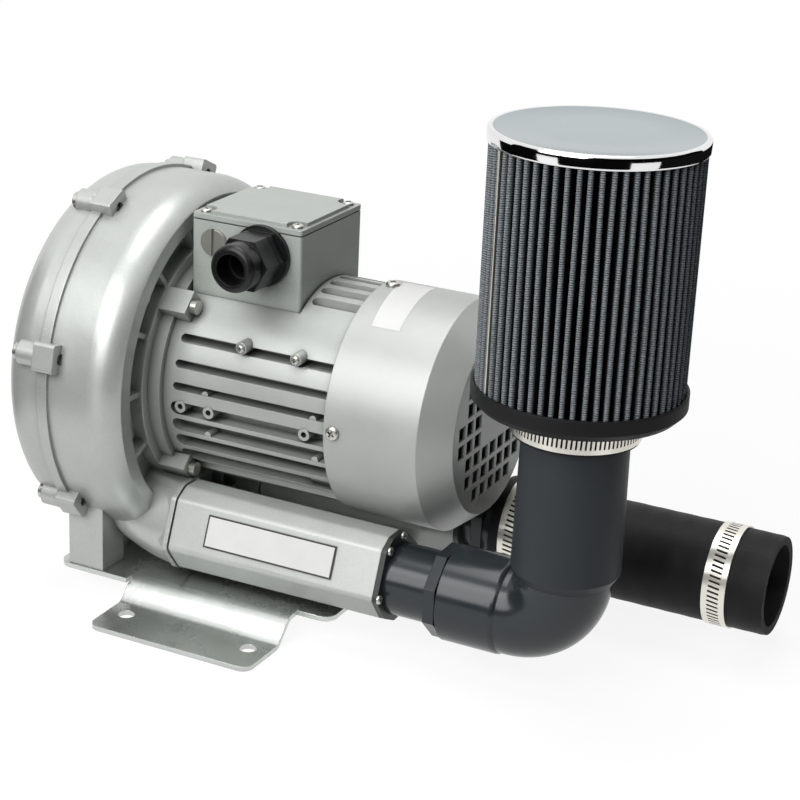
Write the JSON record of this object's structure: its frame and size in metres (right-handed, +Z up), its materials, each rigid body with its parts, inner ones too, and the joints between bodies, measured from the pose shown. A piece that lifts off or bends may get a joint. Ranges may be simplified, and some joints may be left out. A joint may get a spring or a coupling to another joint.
{
  "type": "side channel blower",
  "caption": "Silver side channel blower on a steel foot, with finned motor, terminal box, pleated inlet filter on an elbow, and a black outlet hose stub.",
  "frame": {"origin": "on the floor, at the centre of the four foot holes", "axes": "+X along the motor shaft from the blower housing to the fan grille and the ports, +Y towards the outlet port, +Z up"},
  "size_m": [0.428, 0.249, 0.3206],
  "materials": {
    "silver_paint": "satin silver paint on die cast aluminium",
    "box_paint": "satin silver grey paint on cast aluminium",
    "cowl_paint": "satin silver paint on pressed steel",
    "raw_alloy": "machined cast aluminium",
    "foot_steel": "grey coated pressed steel",
    "zinc": "zinc plated steel",
    "stainless": "brushed stainless steel",
    "bearing_steel": "ground bearing steel",
    "core_steel": "stacked electrical steel",
    "copper": "enamelled copper wire under varnish",
    "brass": "plain brass",
    "gasket": "thin black gasket sheet",
    "rubber": "matt black rubber",
    "foam": "open cell sound absorbing foam",
    "black_plastic": "moulded black polyamide",
    "block_plastic": "brown moulded thermoset",
    "fan_plastic": "moulded black polypropylene",
    "grey_pvc": "glossy dark grey pipe plastic",
    "matt_pvc": "matt dark grey pipe plastic",
    "filter_media": "pleated filter cloth behind wire mesh",
    "filter_rubber": "soft black moulded end cap",
    "chrome": "bright plated cap",
    "perforated": "galvanised slotted tube"
  },
  "bodies": {
    "housing": {"foot_bracket": "foot_steel", "foot_bolts": "zinc", "blower_casing": "silver_paint", "blower_cover": "silver_paint", "cover_screws": "zinc", "inlet_silencer": "silver_paint", "outlet_silencer": "silver_paint", "silencer_gaskets": "gasket", "silencer_foams": "foam", "inlet_port_flange": "black_plastic", "outlet_port_flange": "black_plastic", "port_screws": "zinc", "motor_housing": "silver_paint", "front_end_shield": "silver_paint", "flange_bolts": "zinc", "rear_end_shield": "silver_paint", "rear_shield_bolts": "zinc", "stator_core": "core_steel", "stator_winding": "copper", "bearing_outer_rings": "bearing_steel", "wave_spring": "bearing_steel", "shaft_seal": "rubber", "fan_cowl": "cowl_paint", "cowl_screws": "zinc", "box_adapter": "box_paint", "terminal_box": "box_paint", "lid_gasket": "gasket", "terminal_box_lid": "box_paint", "lid_screws": "zinc", "terminal_block": "block_plastic", "terminal_studs": "brass", "cable_gland_body": "black_plastic", "cable_gland_seal": "rubber", "cable_gland_locknut": "black_plastic", "blanking_plug": "black_plastic", "inlet_nipple": "grey_pvc", "inlet_elbow": "grey_pvc", "riser_tube": "matt_pvc", "filter_base": "filter_rubber", "filter_media": "filter_media", "filter_core": "perforated", "filter_cap": "chrome", "outlet_nipple": "grey_pvc", "outlet_hose": "rubber", "filter_clamp_band": "stainless", "inner_hose_clamp_band": "stainless", "outer_hose_clamp_band": "stainless"},
    "rotor": {"rotor_shaft": "bearing_steel", "rotor_core": "core_steel", "impeller": "raw_alloy", "impeller_nut": "zinc", "cooling_fan": "fan_plastic", "bearing_inner_rings": "bearing_steel"},
    "front_balls": {"front_bearing_balls": "bearing_steel"},
    "rear_balls": {"rear_bearing_balls": "bearing_steel"},
    "gland_nut": {"cable_gland_nut": "black_plastic"},
    "filter_worm": {"filter_clamp_screw": "zinc"},
    "inner_hose_worm": {"inner_hose_clamp_screw": "zinc"},
    "outer_hose_worm": {"outer_hose_clamp_screw": "zinc"}
  },
  "joints": [
    {"name": "rotor_spin", "type": "hinge", "parent": "housing", "child": "rotor", "pos_m": [0, 0, 0.131], "axis": [1, 0, 0], "continuous": true},
    {"name": "front_balls_roll", "type": "hinge", "parent": "housing", "child": "front_balls", "pos_m": [-0.049, 0, 0.131], "axis": [1, 0, 0], "continuous": true},
    {"name": "rear_balls_roll", "type": "hinge", "parent": "housing", "child": "rear_balls", "pos_m": [0.077, 0, 0.131], "axis": [1, 0, 0], "continuous": true},
    {"name": "gland_nut_turn", "type": "hinge", "parent": "housing", "child": "gland_nut", "pos_m": [0.008, -0.0595, 0.2155], "axis": [0, -1, 0], "continuous": true},
    {"name": "filter_worm_turn", "type": "hinge", "parent": "housing", "child": "filter_worm", "pos_m": [0.1771, -0.03285, 0.164], "axis": [-0.5, -0.866, 0], "continuous": true},
    {"name": "inner_hose_worm_turn", "type": "hinge", "parent": "housing", "child": "inner_hose_worm", "pos_m": [0.146, 0.08426, 0.02838], "axis": [0, 0.4695, 0.8829], "continuous": true},
    {"name": "outer_hose_worm_turn", "type": "hinge", "parent": "housing", "child": "outer_hose_worm", "pos_m": [0.274, 0.08482, 0.02948], "axis": [0, 0.4384, 0.8988], "continuous": true}
  ],
  "couplings": [
    {"joint": "front_balls_roll", "follows": "rotor_spin", "ratio": 0.38358},
    {"joint": "rear_balls_roll", "follows": "rotor_spin", "ratio": 0.38358}
  ]
}
